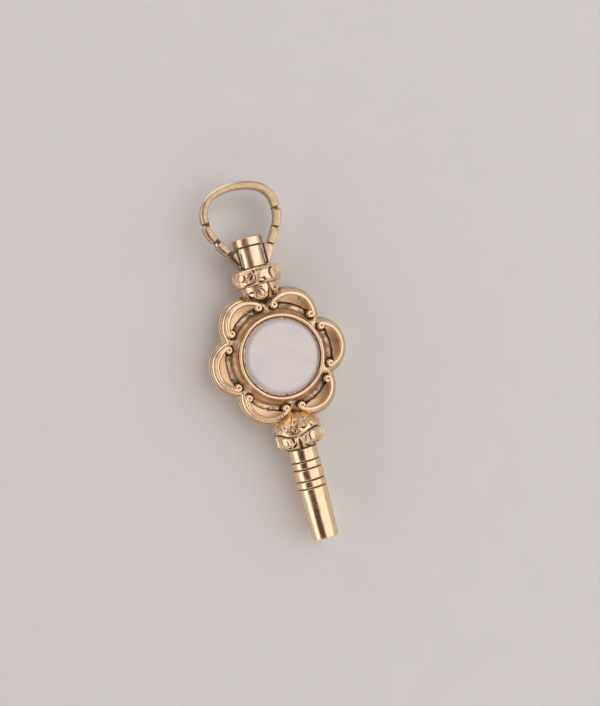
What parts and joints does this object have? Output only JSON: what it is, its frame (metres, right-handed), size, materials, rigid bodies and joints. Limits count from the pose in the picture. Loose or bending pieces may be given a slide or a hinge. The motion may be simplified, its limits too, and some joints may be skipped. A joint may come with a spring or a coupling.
{
  "type": "watch key",
  "caption": "Old pocket-watch winding key with a swivel bow, a six-lobed scroll-edged head set with a round stone on each face, chased collars and a pipe with a square socket.",
  "frame": {"origin": "middle of the overall length and width, on the surface that the back bezel rests on", "axes": "+Y along the key towards the bow, +Z out of the front face, X across the head"},
  "size_m": [0.0182, 0.0468, 0.0067],
  "materials": {
    "rose_gold": "struck and chased rose-gold skin, polished on the high places, dark in the hollows",
    "bezel_gold": "polished rose gold",
    "bow_gold": "worn satin rose gold",
    "swivel_gold": "paler worn gold with grey solder at the lugs",
    "pipe_gold": "polished rose gold with engraved rings",
    "chalcedony": "polished milky pale lavender stone",
    "bloodstone": "polished dark green stone with small red flecks",
    "setting_cement": "dark setting cement",
    "filling": "brown filling composition",
    "steel": "dark oxidised steel"
  },
  "bodies": {
    "key": {"swivel_pin": "swivel_gold", "pin_cap": "swivel_gold", "upper_collar": "rose_gold", "upper_leaf_cup": "rose_gold", "front_shell": "rose_gold", "back_shell": "rose_gold", "head_core": "filling", "front_bezel": "bezel_gold", "back_bezel": "bezel_gold", "front_stone": "chalcedony", "back_stone": "bloodstone", "front_stone_bed": "setting_cement", "back_stone_bed": "setting_cement", "lower_leaf_cup": "rose_gold", "lower_collar": "rose_gold", "pipe": "pipe_gold", "steel_socket": "steel"},
    "swivel_bow": {"bow": "bow_gold", "bow_sleeve": "swivel_gold"}
  },
  "joints": [
    {"name": "bow_swivel", "type": "hinge", "parent": "key", "child": "swivel_bow", "pos_m": [0, 0.01365, 0.00335], "axis": [0, 1, 0], "continuous": true}
  ]
}
